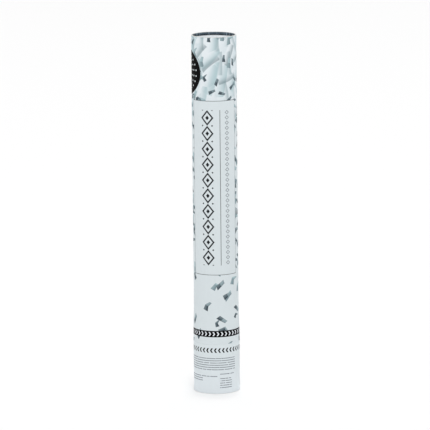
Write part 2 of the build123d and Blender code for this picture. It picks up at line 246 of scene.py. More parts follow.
# Moulded working parts
# Socket, bearing, thrust washer, cam, crosshead, valve plug and canister guide are moulded from
# nylon and acetal: a fine spark grain from the tool and slow sink marks on the thicker walls.
GRAIN_SCALE = 5.0
GRAIN_DETAIL = 3.0
GRAIN_SHARE = 0.3
GRAIN_ROUGH = 0.16  # range of the roughness
GRAIN_DEPTH = 0.4
SINK_SCALE = 0.12
SINK_SHARE = 0.7
SINK_SHADE_DARKER = 0.86
MOULDED_RELIEF = 0.03
MOULDED = (  # finish, colour, roughness, nodes
    ("socket_nylon", (74, 77, 81), 0.5, ("barrel_socket", "canister_spider")),
    ("cam_nylon", (46, 49, 53), 0.45, ("cam_ring", "crosshead")),
    ("bearing_plastic", (96, 98, 100), 0.4, ("bearing_collar", "thrust_washer", "valve_plug")),
)


def moulded(name, colour, roughness):
    """A moulded plastic with the tool's fine grain."""
    plastic, surface, place = new_finish(name)
    grain = place.speckle(GRAIN_SCALE, GRAIN_DETAIL)
    sink = place.speckle(SINK_SCALE)
    pale = screen_colour(*colour)
    # A darker copy of the colour fills the sink marks and the low grain: painted shade.
    deep = screen_colour(*[part * SINK_SHADE_DARKER for part in colour])
    (sink * SINK_SHARE + grain * GRAIN_SHARE).between(deep, pale).into(surface, "Base Color")
    (grain * GRAIN_ROUGH + (roughness - GRAIN_ROUGH / 2)).into(surface, "Roughness")
    (grain * GRAIN_DEPTH + sink).raised(MOULDED_RELIEF).into(surface, "Normal")
    return plastic


for name, colour, roughness, nodes in MOULDED:
    dress(moulded(name, colour, roughness), *nodes)

# Push rod and snap ring
# Ground steel rod, pressed into the crosshead, and a snap ring bent from flat spring steel.
# Both are bright, with fine marks along the rod from drawing and a little oil haze.
STEEL_BRIGHT = (196, 199, 203)
STEEL_DULL = (150, 154, 160)
STEEL_GRAIN = (6, 6, 0.25)
STEEL_GRAIN_SCALE = 1.5
STEEL_GRAIN_DETAIL = 4.0
STEEL_GRAIN_SHARE = 0.6
STEEL_HAZE_SCALE = 0.4
STEEL_HAZE_SHARE = 0.4
STEEL_HAZE_ROUGH = 0.22
STEEL_ROUGH = 0.2
STEEL_RELIEF = 0.004
steel, surface, place = new_finish("steel", Metallic=1.0)
drawn = place.stretched(*STEEL_GRAIN).speckle(STEEL_GRAIN_SCALE, STEEL_GRAIN_DETAIL)
haze = place.speckle(STEEL_HAZE_SCALE)
bright = drawn * STEEL_GRAIN_SHARE + haze * STEEL_HAZE_SHARE
bright.between(screen_colour(*STEEL_DULL), screen_colour(*STEEL_BRIGHT)).into(surface, "Base Color")
(haze * STEEL_HAZE_ROUGH + STEEL_ROUGH).into(surface, "Roughness")
drawn.raised(STEEL_RELIEF).into(surface, "Normal")
dress(steel, "push_rod", "retaining_ring")

# Return spring
# Round spring wire, coiled and ground flat at both ends, between the crosshead and the web
# of the socket. It shortens towards the web as the grip is twisted.
SPRING_WIRE = 0.6 * MM  # radius
SPRING_RADIUS = 7.1 * MM
SPRING_TURNS = 7
SPRING_STEPS = 40  # sections in a turn
SPRING_SIDES = 12
SPRING_SPARE = 1.5  # turns that grinding the ends takes off
MERGE_WITHIN = 0.001 * MM
SMOOTH_UP_TO = 35  # degrees
spring_low, spring_high = (corner[2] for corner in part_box("return_spring"))
spring_pitch = (spring_high - spring_low - 2 * SPRING_WIRE) / SPRING_TURNS


def apply_modifier(piece, kind, **settings):
    """Adds a modifier to a piece and applies it."""
    bpy.context.view_layer.objects.active = piece
    bpy.ops.object.modifier_add(type=kind)
    modifier = piece.modifiers[-1]
    for name, value in settings.items():
        setattr(modifier, name, value)
    bpy.ops.object.modifier_apply(modifier=modifier.name)


def begin(name, add, **sizes):
    """Adds a primitive with nothing else selected, and places it in its own mesh."""
    bpy.ops.object.select_all(action="DESELECT")
    add(**sizes)
    piece = bpy.context.object
    piece.name = name
    piece.data.name = name
    bpy.ops.object.transform_apply(location=True, rotation=True, scale=True)
    return piece


def edit_all(piece):
    """Opens a piece for editing with all of it selected."""
    bpy.context.view_layer.objects.active = piece
    bpy.ops.object.mode_set(mode="EDIT")
    bpy.ops.mesh.select_all(action="SELECT")


def close_up(piece, angle=SMOOTH_UP_TO):
    """Merges doubles, turns faces outwards and shades the piece smooth up to an angle."""
    edit_all(piece)
    bpy.ops.mesh.remove_doubles(threshold=MERGE_WITHIN)
    bpy.ops.mesh.normals_make_consistent(inside=False)
    bpy.ops.object.mode_set(mode="OBJECT")
    bpy.ops.object.shade_smooth_by_angle(angle=radians(angle))


def fit(piece, finish, body, slot, *nodes):
    """Gives a piece its material, hangs it on its body and hides the CAD solids it takes over."""
    piece.data.materials.clear()
    piece.data.materials.append(finish)
    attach(piece, body)
    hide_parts(*nodes)


spring = begin(
    "spring_coil",
    bpy.ops.mesh.primitive_circle_add,
    vertices=SPRING_SIDES,
    radius=SPRING_WIRE,
    location=(SPRING_RADIUS, 0, spring_low + SPRING_WIRE - SPRING_SPARE / 2 * spring_pitch),
    rotation=(pi / 2, 0, 0),
)
apply_modifier(
    spring,
    "SCREW",
    angle=2 * pi,
    screw_offset=spring_pitch,
    iterations=SPRING_TURNS + ceil(SPRING_SPARE),
    steps=SPRING_STEPS,
    render_steps=SPRING_STEPS,
    use_merge_vertices=True,
    merge_threshold=MERGE_WITHIN,
)
for height, upwards in ((spring_low, -1), (spring_high, 1)):
    edit_all(spring)
    bpy.ops.mesh.bisect(
        plane_co=(0, 0, height), plane_no=(0, 0, upwards), use_fill=True, clear_outer=True
    )
    bpy.ops.object.mode_set(mode="OBJECT")
close_up(spring)
fit(spring, steel, "barrel", "steel", "return_spring")
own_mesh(spring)

# Air canister and valve
# The canister is an impact-drawn aluminium bottle, necked in over a turned brass seat. The
# seals and the gasket are moulded black rubber.
ALUMINIUM_BRIGHT = (205, 208, 211)
ALUMINIUM_DULL = (168, 172, 176)
BRASS_BRIGHT = (206, 172, 96)
BRASS_DULL = (158, 124, 62)
RUBBER_BLACK = (34, 35, 37)
RUBBER_BLOOM = (62, 63, 64)
ALUMINIUM_GRAIN = (3, 3, 0.05)
ALUMINIUM_GRAIN_SCALE = 1.2
ALUMINIUM_GRAIN_DETAIL = 4.0
ALUMINIUM_GRAIN_SHARE = 0.5
ALUMINIUM_GRAIN_ROUGH = 0.2
ALUMINIUM_HAZE_SCALE = 0.08
ALUMINIUM_HAZE_SHARE = 0.5
ALUMINIUM_ROUGH = 0.22
ALUMINIUM_RELIEF = 0.01
TARNISH_SCALE = 0.5
TARNISH_DETAIL = 3.0
BRASS_ROUGH = 0.4
BRASS_SMOOTHER = 0.2  # by which bright brass is smoother than tarnished
TURNING_PITCH = 0.3  # mm between the marks of the turning tool
TURNING_DEPTH = 0.02
RUBBER_ROUGH = 0.75
RUBBER_RELIEF = 0.03
BLOOM_SCALE = 0.9
BLOOM_DETAIL = 4.0
BLOOM_POWER = 3  # keeps the bloom to its densest spots

aluminium, surface, place = new_finish("aluminium", Metallic=1.0)
drawn = place.stretched(*ALUMINIUM_GRAIN).speckle(ALUMINIUM_GRAIN_SCALE, ALUMINIUM_GRAIN_DETAIL)
haze = place.speckle(ALUMINIUM_HAZE_SCALE)
bright = drawn * ALUMINIUM_GRAIN_SHARE + haze * ALUMINIUM_HAZE_SHARE
shine = bright.between(screen_colour(*ALUMINIUM_DULL), screen_colour(*ALUMINIUM_BRIGHT))
shine.into(surface, "Base Color")
(drawn * ALUMINIUM_GRAIN_ROUGH + ALUMINIUM_ROUGH).into(surface, "Roughness")
drawn.raised(ALUMINIUM_RELIEF).into(surface, "Normal")
dress(aluminium, "air_canister")

brass, surface, place = new_finish("brass", Metallic=1.0)
x, y, z = place.parts()
turning = (polar(x, y)[1] + z).repeated(TURNING_PITCH) / TURNING_PITCH
clean = place.speckle(TARNISH_SCALE, TARNISH_DETAIL)
clean.between(screen_colour(*BRASS_DULL), screen_colour(*BRASS_BRIGHT)).into(surface, "Base Color")
(BRASS_ROUGH - clean * BRASS_SMOOTHER).into(surface, "Roughness")
turning.raised(TURNING_DEPTH).into(surface, "Normal")
dress(brass, "valve_seat")

rubber, surface, place = new_finish("rubber", Roughness=RUBBER_ROUGH)
bloom = place.speckle(BLOOM_SCALE, BLOOM_DETAIL)
dusty = bloom**BLOOM_POWER
dusty.between(screen_colour(*RUBBER_BLACK), screen_colour(*RUBBER_BLOOM)).into(surface, "Base Color")
bloom.raised(RUBBER_RELIEF).into(surface, "Normal")
dress(rubber, "rod_seal", "neck_gasket", "plug_seal")

# Foam wad
# A disc punched from grey closed-cell foam, which pushes the card and the strips out. The
# punch leaves its wall a little drawn in, and the cut cells show all over.
FOAM_PALE = (203, 206, 208)
FOAM_PIT_SHADE = (150, 154, 158)
FOAM_CELL = 0.9  # mm
FOAM_PIT_RIM = (0.25, 0.7)  # from the middle of a cell, in cells
FOAM_PIT_DEPTH = 0.2  # mm
FOAM_ROUGH = 0.9
FOAM_DRAWN_IN = 0.25 * MM
FOAM_WALL = ((0, 0), (0.3, 0.7), (0.5, 1), (0.7, 0.7), (1, 0))  # shares of the height and of drawing in
FOAM_ROUND = 0.8 * MM
FOAM_ROUND_STEPS = 3
FOAM_CORNER = 40  # degrees
FOAM_SIDES = 96
TURNED_SIDES = 192
foam_low, foam_high = (Vector(corner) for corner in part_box("wad_foam"))


def turned(name, outline, sides=TURNED_SIDES):
    """A wall turned about the axis: a circle at the outline's first point, drawn on through the rest."""
    (radius, height), *others = outline
    piece = begin(
        name, bpy.ops.mesh.primitive_circle_add, vertices=sides, radius=radius, location=(0, 0, height)
    )
    edit_all(piece)
    for next_radius, next_height in others:
        bpy.ops.mesh.extrude_region_move(TRANSFORM_OT_translate={"value": (0, 0, next_height - height)})
        grown = next_radius / radius
        bpy.ops.transform.resize(value=(grown, grown, 1), center_override=(0, 0, next_height))
        radius, height = next_radius, next_height
    bpy.ops.object.mode_set(mode="OBJECT")
    return piece


def capped(piece):
    """Closes the two open ends of a turned wall with flat faces."""
    edit_all(piece)
    bpy.ops.mesh.fill_holes(sides=0)
    bpy.ops.object.mode_set(mode="OBJECT")


foam_radius = foam_high.x
foam_outline = [(foam_radius - FOAM_ROUND, foam_low.z)]
for share, drawn_in in FOAM_WALL:
    wall_height = foam_low.z * (1 - share) + foam_high.z * share
    foam_outline.append((foam_radius - FOAM_DRAWN_IN * drawn_in, wall_height))
foam_outline.append((foam_radius - FOAM_ROUND, foam_high.z))
foam = turned("wad_of_foam", foam_outline, sides=FOAM_SIDES)
capped(foam)
close_up(foam)
apply_modifier(
    foam,
    "BEVEL",
    width=FOAM_ROUND / 2,
    segments=FOAM_ROUND_STEPS,
    limit_method="ANGLE",
    angle_limit=radians(FOAM_CORNER),
)
bpy.ops.object.shade_smooth_by_angle(angle=radians(FOAM_CORNER))

cellular, surface, place = new_finish("closed_cell_foam", Roughness=FOAM_ROUGH)
cells = place.node("ShaderNodeTexVoronoi", {}, {"Vector": place, "Scale": 1 / FOAM_CELL}, "Distance")
# The pits of the cut cells are painted darker than their rims: painted shade in the hollows.
rim = cells.rising(*FOAM_PIT_RIM)
rim.between(screen_colour(*FOAM_PIT_SHADE), screen_colour(*FOAM_PALE)).into(surface, "Base Color")
rim.raised(FOAM_PIT_DEPTH).into(surface, "Normal")
fit(foam, cellular, "charge", "foam", "wad_foam")

# Foil strips
# Strips slit from thin silvered film, stood on end in two thick stacks with a thinner one in
# front and behind, three tiers high. They are slit several deep, so each leaf is a little wavy
# bundle of strips that still lie together.
STRIP_FOIL = 0.05 * MM
STRIP_BUNDLE = 8
STRIP_SPACING = 0.62 * MM
STRIP_WAVE = 0.09 * MM
STRIP_WAVE_TURN = 0.7  # radians of the wave from row to row, on the first kind of leaf
STRIP_ROWS = 8
STRIP_KINDS = 4
STRIP_TIERS = 3
STRIP_SEED = 5
STRIP_SHORTER = 0.6 * MM  # most by which a leaf stands lower than the longest
STRIP_REST = 0.3 * MM
MAIN_STACK_DEPTH = 25.0 * MM
FOIL_BRIGHT = (226, 231, 235)
FOIL_SHADE = (166, 176, 183)
FOIL_TEAL = (188, 204, 208)
FOIL_METAL = 0.75
FOIL_ROUGH = 0.16
FOIL_RELIEF = 0.1
LEAF_GRAIN = (0.02, 3.2, 0.02)  # changes from leaf to leaf
LEAF_DETAIL = 0.0
LEAF_TONE = (0.35, 0.65)
STREAK_GRAIN = (2.5, 0.4, 0.02)
STREAK_DETAIL = 3.0
STREAK_SHARE = 0.5
STREAK_ROUGH = 0.15
STREAK_DEPTH = 0.2
CREASE_GRAIN = (0.3, 0.3, 0.9)
CREASE_SCALE = 0.5

strips_low, strips_high = (Vector(corner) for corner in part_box("strips_tier_1"))
strip_length = strips_high.z - strips_low.z
strip_width = strips_high.x - STRIP_REST / 2


def select_points(piece, chosen):
    """Opens a piece for editing with only the chosen points selected."""
    edit_all(piece)
    bpy.ops.mesh.select_all(action="DESELECT")
    bpy.ops.object.mode_set(mode="OBJECT")
    for point in piece.data.vertices:
        point.select = chosen(point)
    bpy.ops.object.mode_set(mode="EDIT")


def foil_leaf(kind):
    """One wavy leaf, standing at the axis with its foot at the tier's foot."""
    leaf = begin(
        f"leaf_{kind}",
        bpy.ops.mesh.primitive_grid_add,
        x_subdivisions=1,
        y_subdivisions=STRIP_ROWS,
        size=1,
        rotation=(pi / 2, 0, 0),
    )
    edit_all(leaf)
    bpy.ops.transform.resize(value=(strip_width, 1, strip_length), center_override=(0, 0, 0))
    bpy.ops.transform.translate(value=(0, 0, strips_low.z + strip_length / 2))
    bpy.ops.object.mode_set(mode="OBJECT")
    for row in range(STRIP_ROWS + 1):
        row_height = strips_low.z + strip_length * row / STRIP_ROWS
        bend = STRIP_WAVE * sin((kind + 1) * STRIP_WAVE_TURN * row + kind)
        select_points(leaf, lambda point: abs(point.co.z - row_height) < STRIP_REST)
        bpy.ops.transform.translate(value=(0, bend, 0))
        bpy.ops.object.mode_set(mode="OBJECT")
    apply_modifier(leaf, "SOLIDIFY", thickness=STRIP_BUNDLE * STRIP_FOIL, offset=0)
    close_up(leaf)
    return leaf


def copy_of(piece, name, shift):
    """A copy of a piece with its own mesh, moved by a shift."""
    bpy.ops.object.select_all(action="DESELECT")
    piece.select_set(True)
    bpy.context.view_layer.objects.active = piece
    bpy.ops.object.duplicate(linked=False)
    made = bpy.context.object
    made.name = name
    made.data.name = name
    bpy.ops.transform.translate(value=shift)
    bpy.ops.object.transform_apply(location=True, rotation=True, scale=True)
    return made


def joined(pieces, name):
    """Several pieces made one."""
    bpy.ops.object.select_all(action="DESELECT")
    for piece in pieces:
        piece.select_set(True)
    bpy.context.view_layer.objects.active = pieces[0]
    bpy.ops.object.join()
    pieces[0].name = name
    pieces[0].data.name = name
    return pieces[0]


main_half = MAIN_STACK_DEPTH / 2
main_middle = (strip_width + STRIP_REST) / 2
side_low = main_half + STRIP_REST
side_high = strips_high.y
stacks = [
    (-main_middle, -main_half, main_half),
    (main_middle, -main_half, main_half),
    (0, side_low, side_high),
    (0, -side_high, -side_low),
]
uneven = Random(STRIP_SEED)
kinds = [foil_leaf(kind) for kind in range(STRIP_KINDS)]
leaves = []
for middle, near, far in stacks:
    count = int((far - near) / STRIP_SPACING)
    for index in range(count):
        depth = near + (far - near) * (index + 0.5) / count
        leaf = copy_of(
            kinds[uneven.randrange(STRIP_KINDS)],
            "leaf",
            (middle, depth, -uneven.random() * STRIP_SHORTER),
        )
        leaves.append(leaf)
first_tier = joined(leaves, "foil_strips_1")

foil, surface, place = new_finish("silver_foil", Metallic=FOIL_METAL)
leaf_tone = place.stretched(*LEAF_GRAIN).speckle(detail=LEAF_DETAIL).rising(*LEAF_TONE)
streak = place.stretched(*STREAK_GRAIN).speckle(detail=STREAK_DETAIL)
crease = place.stretched(*CREASE_GRAIN).speckle(CREASE_SCALE)
ground = leaf_tone.between(screen_colour(*FOIL_SHADE), screen_colour(*FOIL_BRIGHT))
(streak * STREAK_SHARE).between(ground, screen_colour(*FOIL_TEAL)).into(surface, "Base Color")
(streak * STREAK_ROUGH + FOIL_ROUGH).into(surface, "Roughness")
(crease + streak * STREAK_DEPTH).raised(FOIL_RELIEF).into(surface, "Normal")
tier_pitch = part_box("strips_tier_2")[0][2] - strips_low.z
tiers = [first_tier]
for tier in range(2, STRIP_TIERS + 1):
    tiers.append(copy_of(first_tier, f"foil_strips_{tier}", (0, 0, (tier - 1) * tier_pitch)))
for tier, strips in enumerate(tiers, 1):
    fit(strips, foil, "charge", "strips", f"strips_tier_{tier}")
for kind in kinds:
    bpy.data.objects.remove(kind)

# Mouth cup and its disc
# A shallow cup pressed from dark steel-blue metallised sheet plugs the barrel's mouth, with its
# lip just inside the rim. A pale silvered disc is laid in it.
CUP_BLUE = (92, 106, 117)
CUP_PAINTED_SHADE = (26, 33, 40)
CUP_PAINTED_GLINT = (150, 168, 180)
DISC_SILVER = (246, 248, 250)
DISC_PAINTED_SHADE = (206, 213, 218)
DISC_GLOSS = 0.2
DISC_ROUGH = 0.25
CRINKLE_SCALE = 0.25
CRINKLE_DETAIL = 3.0
CRINKLE_FACETS = (0.3, 0.7)
CRINKLE_ROUGH = 0.2
CRINKLE_DEPTH = 0.15  # mm
CUP_METAL = 0.85
CUP_ROUGH = 0.25
CUP_RELIEF = 0.06
CUP_DETAIL = 3.0
RECESS_SHADE_SHARE = 0.75  # how much the painted shade of the recess tells in the colour, and how much the pressing
PRESSED_SHARE = 0.25
PRESSED_GRAIN = (1, 1, 3)
PRESSED_SCALE = 0.35
PRESSED_ROUGH = 0.2
DRAWN_GRAIN = (1, 1, 0.1)
DRAWN_SCALE = 0.45
DRAWN_DEPTH = 0.3
PAINTED_GLINT_RISE = (0.5, 0.7)
PAINTED_GLINT_SHARE = 0.75
CUP_CORNER = 50  # degrees
CUP_FOOT_ROUND = 0.5 * MM
CUP_LIP_ROUND = 0.2 * MM
CUP_FLOOR = 1.0 * MM
CUP_DISC_GAP = 0.05 * MM
ROUND_HALFWAY = 0.29  # share of a round's radius that its middle stands in from the corner
cup_low, cup_high = (Vector(corner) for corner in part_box("mouth_cup"))
disc_high = Vector(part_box("cup_disc")[1])
cup_radius = cup_high.x
cup_bore = disc_high.x + CUP_DISC_GAP
foot_in = CUP_FOOT_ROUND * ROUND_HALFWAY
lip_in = CUP_LIP_ROUND * ROUND_HALFWAY
cup = turned(
    "mouth_plug",
    [
        (cup_radius - CUP_FOOT_ROUND, cup_low.z),
        (cup_radius - foot_in, cup_low.z + foot_in),
        (cup_radius, cup_low.z + CUP_FOOT_ROUND),
        (cup_radius, cup_high.z - CUP_LIP_ROUND),
        (cup_radius - lip_in, cup_high.z - lip_in),
        (cup_radius - CUP_LIP_ROUND, cup_high.z),
        (cup_bore + CUP_LIP_ROUND, cup_high.z),
        (cup_bore + lip_in, cup_high.z - lip_in),
        (cup_bore, cup_high.z - CUP_LIP_ROUND),
        (cup_bore, cup_low.z + CUP_FLOOR),
    ],
)
capped(cup)
close_up(cup, CUP_CORNER)

metallised, surface, place = new_finish("metallised_cup", Metallic=CUP_METAL)
pressed = place.stretched(*PRESSED_GRAIN).speckle(PRESSED_SCALE, CUP_DETAIL)
drawn = place.stretched(*DRAWN_GRAIN).speckle(DRAWN_SCALE, CUP_DETAIL)
# The colour darkens towards the cup's floor, as painted shade in the recess.
depth = place.parts()[2].rising(disc_high.z / MM, cup_high.z / MM)
recess_shade_and_pressing = depth * RECESS_SHADE_SHARE + pressed * PRESSED_SHARE
ground = recess_shade_and_pressing.between(screen_colour(*CUP_PAINTED_SHADE), screen_colour(*CUP_BLUE))
# Painted glints: paler streaks laid over the dark metal.
painted_glint = drawn.rising(*PAINTED_GLINT_RISE) * PAINTED_GLINT_SHARE
painted_glint.between(ground, screen_colour(*CUP_PAINTED_GLINT)).into(surface, "Base Color")
(pressed * PRESSED_ROUGH + CUP_ROUGH).into(surface, "Roughness")
(pressed + drawn * DRAWN_DEPTH).raised(CUP_RELIEF).into(surface, "Normal")
fit(cup, metallised, "lid", "cup", "mouth_cup")

silvered, surface, place = new_finish("silvered_disc", Specular_IOR_Level=DISC_GLOSS)
# The crinkles' crests are painted pale and their hollows darker: painted light and shade.
crinkle = place.speckle(CRINKLE_SCALE, CRINKLE_DETAIL)
crinkle_light_and_shade = crinkle.rising(*CRINKLE_FACETS)
crinkle_light_and_shade.between(screen_colour(*DISC_PAINTED_SHADE), screen_colour(*DISC_SILVER)).into(surface, "Base Color")
(crinkle * CRINKLE_ROUGH + DISC_ROUGH).into(surface, "Roughness")
crinkle.raised(CRINKLE_DEPTH).into(surface, "Normal")
dress(silvered, "cup_disc")

# Barrel film
# A satin printed label, rolled round the barrel and over the sleeve that widens its foot, and
# lapped at the back. The print is plain: a framed panel, foil strips, a disc and chevrons.
FILM = 0.25 * MM
FILM_EDGE = 0.03 * MM
FILM_EDGE_STEPS = 2
FILM_CORNER = 60  # degrees, as are the next two
FILM_SMOOTH = 30
COLUMN_REACH = 0.3
LAP_STEP = 0.1 * MM
LAP_COLUMNS = 9
LAP_RAMP = (0.7, 0.3, 0.08)  # share of the step left on the columns past the lap
LAP_EDGE = 0.1  # degrees between the lapping edge and the film under it
BARREL_RADIUS = 24.9  # mm, and so are the print's sizes
FLARE_LOW = 60.8
FLARE_HIGH = 106.4
FLARE_STEPS = 16
FILM_PARTING = 0.36 * MM  # by which the film comes down over the parting gap
film_low, film_high = (Vector(corner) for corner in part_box("barrel_wrap"))
foot_radius = film_high.x


def flare(share):
    """How far the flare has closed in at a share of its height: two equal bends."""
    return 2 * share**2 if share < 0.5 else 1 - 2 * (1 - share) ** 2


def on_column(point, angle):
    """Whether a point of a film stands at an angle from the back."""
    return abs(Vector((0, 1)).angle_signed(point.co.xy) - angle) < radians(COLUMN_REACH)


def rolled_film(name, outline):
    """A film of even thickness on a turned outline, one edge lapped over the other at the back."""
    film = turned(name, outline)
    close_up(film)
    outside = len(film.data.vertices)
    apply_modifier(film, "SOLIDIFY", thickness=FILM, offset=-1)
    step = 2 * pi / TURNED_SIDES
    steps = [1.0] * LAP_COLUMNS + list(LAP_RAMP)
    for column, share in enumerate(steps):
        raised = 1 + LAP_STEP * share / foot_radius
        select_points(film, lambda point: point.index < outside and on_column(point, column * step))
        bpy.ops.transform.resize(value=(raised, raised, 1), center_override=(0, 0, 0))
        bpy.ops.object.mode_set(mode="OBJECT")
    select_points(film, lambda point: on_column(point, -step))
    bpy.ops.transform.rotate(
        value=step - radians(LAP_EDGE), orient_axis="Z", orient_type="GLOBAL", center_override=(0, 0, 0)
    )
    bpy.ops.object.mode_set(mode="OBJECT")
    apply_modifier(
        film,
        "BEVEL",
        width=FILM_EDGE,
        segments=FILM_EDGE_STEPS,
        limit_method="ANGLE",
        angle_limit=radians(FILM_CORNER),
    )
    bpy.ops.object.shade_smooth_by_angle(angle=radians(FILM_SMOOTH))
    return film


film_outline = [(foot_radius, film_low.z - FILM_PARTING)]
for index in range(FLARE_STEPS + 1):
    share = index / FLARE_STEPS
    flare_radius = foot_radius - (foot_radius - BARREL_RADIUS * MM) * flare(share)
    film_outline.append((flare_radius, (FLARE_LOW + (FLARE_HIGH - FLARE_LOW) * share) * MM))
film_outline.append((BARREL_RADIUS * MM, film_high.z))
barrel_film = rolled_film("barrel_film", film_outline)

LABEL_WHITE = (217, 225, 228)
LABEL_BRIGHT = (229, 234, 239)
ART_GROUND = (228, 235, 239)
PAPER_CORE = (238, 239, 237)
INK_BLACK = (8, 8, 9)
INK_DARK = (36, 38, 42)
INK_LIGHT = (136, 143, 149)
TEAL_PALE = (175, 199, 204)
TEAL_SOFT = (158, 177, 182)
TEAL_MID = (128, 146, 152)
TEAL_DARK = (66, 76, 84)
PRINT_SOFT = 0.25
VARNISH_GLOSS = 0.035
VARNISH_ROUGH = 0.45
VARNISH_RELIEF = 0.02
SHEEN_SCALE = 0.05
SHEEN_ROUGH = 0.12
SCUFF_SCALE = 1.2
SCUFF_DETAIL = 4.0
SCUFF_ROUGH = 0.06
SCUFF_DEPTH = 0.3
SCUFF_WEAR = 1.2
EDGE_WEAR = 0.6  # mm from the film's edge
WEAR_BARE = (0.9, 1.5)  # wear at which the paper begins to show, and at which it is bare

PANEL_LOW = 134.9
PANEL_HIGH = 329.5
PANEL_LEFT = -28.4
PANEL_RIGHT = 26.5
PANEL_LINE = 0.5
PANEL_SIDE_SOFT = 0.1
RULE_AT = 6.0
RULE_WIDTH = 0.6
RULE_LOW = 145.6
RULE_HIGH = 319.5
CHAIN_AT = -8.3
CHAIN_HALF = 7.1
CHAIN_LINKS = 10
CHAIN_STROKE = 1.6
CHAIN_SEED = 0.3  # size of the lozenge inside a link, as a share of the link
CHAIN_BEAD = 1.1
CHAIN_BEAD_AT = 0.78  # share of the chain's half width
TRAIL_AT = 14.3
TRAIL_HALF = 2.6
TRAIL_LINKS = 30
TRAIL_STROKE = 0.7
TRAIL_FILL = 0.42  # half height of a small lozenge, as a share of its pitch
DISC_ANGLE = -1.65
DISC_HEIGHT = 359.4
DISC_RADIUS = 25.0
DISC_BURST = ((5.0, 6), (9.5, 10), (14.0, 14), (18.5, 18))  # radius and dots of each ring
DISC_DOT = 0.9
BAND_LOW = 64.5
BAND_HIGH = 71.8
BAND_CHEVRONS = 35
BAND_CHEVRON_HALF = 2.35
BAND_STROKE = 1.45
CHEVRON_LEAN = 0.62


def box_distance(across, up, left, right, low, high):
    """Distance in mm from an upright rectangle, negative inside."""
    sideways = abs(across - (left + right) / 2) - (right - left) / 2
    return sideways.both(abs(up - (low + high) / 2) - (high - low) / 2)


def lozenge_distance(across, up, half_width, half_height):
    """Distance in mm from an upright lozenge, negative inside."""
    slope = (half_width**2 + half_height**2) ** 0.5
    return (abs(across) * half_height + abs(up) * half_width - half_width * half_height) / slope


def chevrons(across, up, pitch, lean, stroke, half_height):
    """Row of chevrons: each stroke leans back from its point on both sides of the middle."""
    bars = (across + abs(up) * lean).repeated(pitch) - stroke / 2
    return bars.both(abs(up) - half_height).inked(PRINT_SOFT)


STREWN_LOOSENESS = 0.6
EVEN_CHANCE = 0.5


def strewn(across, up, slant, cell, shift, swing):
    """Place on the nearest of the strips strewn one to a cell along a slant, its chances and height."""
    cell_length, cell_width = cell
    side_shift = 2 * shift
    length_place = (across * cos(slant) + up * sin(slant)) / cell_length + shift
    width_place = (up * cos(slant) - across * sin(slant)) / cell_width + side_shift
    spot = across.node("ShaderNodeCombineXYZ", {}, {0: length_place, 1: width_place})
    tint = across.node(
        "ShaderNodeTexVoronoi",
        {"voronoi_dimensions": "2D"},
        {"Vector": spot, "Scale": 1, "Randomness": STREWN_LOOSENESS},
        "Color",
    )
    middle = tint.output("Position")
    turn, lean, chance = tint.parts()
    offset = across.node("ShaderNodeVectorMath", {"operation": "SUBTRACT"}, {0: spot, 1: middle})
    angle = (turn - EVEN_CHANCE) * (2 * swing)
    swung = across.node(
        "ShaderNodeVectorRotate",
        {"rotation_type": "Z_AXIS"},
        {"Vector": offset.stretched(cell_length, cell_width, 0), "Angle": angle},
    )
    along, over, _ = swung.parts()
    middle_length, middle_width, _ = middle.parts()
    climb = (middle_length - shift) * (cell_length * sin(slant))
    height = climb + (middle_width - side_shift) * (cell_width * cos(slant))
    return along, over, lean, chance, height


ART_RISE = (300.0, 345.0)  # heights between which the ground brightens
VEIL_RISE = (296.0, 338.0)  # heights between which the veils come in
VEIL_FADE = (1.1, -1.0)  # from bare to full across a veil, in half widths
VEIL_CHANCE = (0.1, 0.6)
VEILS = (  # slant, cell, shift, size, softness, swing, bend, ink, depth
    (1.5, (31.0, 15.0), 3.1, (19.0, 7.0), 2.4, 0.3, 0.25, TEAL_PALE, 0.8),
    (1.05, (30.0, 14.0), 7.7, (15.0, 5.0), 2.0, 0.35, 0.3, TEAL_PALE, 0.85),
    (1.75, (29.0, 13.0), 1.9, (13.0, 3.4), 1.2, 0.35, 0.4, TEAL_SOFT, 0.75),
    (0.65, (32.0, 19.0), 9.4, (12.0, 3.8), 0.9, 0.5, 0.2, TEAL_MID, 0.7),
)
FOLD_FROM = 0.4  # share of the strips that stay flat
FOLD_MOST = 1.5
STRIP_SKEW = 1.3
STRIP_NARROWS = 0.7
STRIP_RIM = 0.5
RIM_DARK = 0.7
FOLD_TONE = 0.6  # how much the two halves of a fold differ, and the two sides of a strip
SIDE_TONE = 0.4
FOOT_RISE = (125.0, 150.0)  # heights between which the foot's chance gives way to the middle's
TOP_RISE = (325.0, 345.0)  # and the middle's to the top's
BACK_THINS = (1.8, 2.6)  # angles from the front between which the strips get fewer
BACK_BARE = 0.5
STRIPS = (  # slant, cell, shift, size, swing, dark, light, chances at the top, middle and foot
    (0.9, (19.0, 13.0), 11.3, (5.6, 2.1), 1.4, TEAL_MID, TEAL_PALE, 0.4, 0.85, 0.08),
    (1.2, (14.0, 11.0), 5.9, (3.8, 1.5), 1.5, TEAL_DARK, TEAL_MID, 0.42, 0.92, 0.1),
    (0.5, (24.0, 18.0), 2.6, (5.4, 2.1), 1.5, TEAL_DARK, TEAL_SOFT, 0.0, 0.4, 0.62),
)

label, surface, place = new_finish("printed_label", Specular_IOR_Level=VARNISH_GLOSS)
x, y, z = place.parts()
theta, _ = polar(x, y)
across = theta * BARREL_RADIUS

